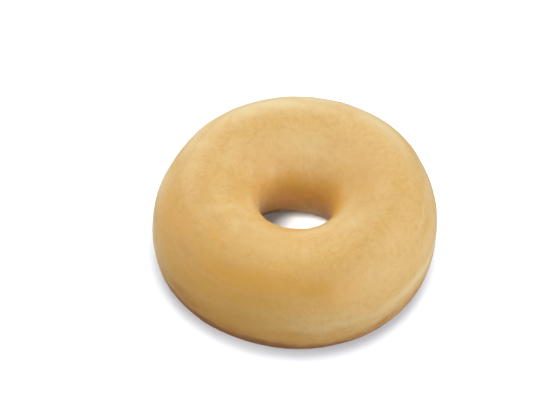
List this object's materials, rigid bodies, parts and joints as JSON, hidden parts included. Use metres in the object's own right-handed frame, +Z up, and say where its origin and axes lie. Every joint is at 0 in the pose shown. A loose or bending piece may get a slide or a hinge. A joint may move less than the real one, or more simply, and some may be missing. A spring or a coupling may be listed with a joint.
{
  "type": "ring doughnut",
  "caption": "Plain ring doughnut of raised dough, fried golden: a soft, slightly uneven ring with a round hole through it, resting on its settled underside.",
  "frame": {"origin": "under the middle of the ring's outline, on the surface that it rests on", "axes": "+Z up through the hole; -Y is the side nearest the viewer in the picture"},
  "size_m": [0.0906, 0.0896, 0.0376],
  "materials": {
    "fried_crust": "satin, smooth fried skin"
  },
  "bodies": {
    "root": {"ring_doughnut": "fried_crust"}
  },
  "joints": []
}
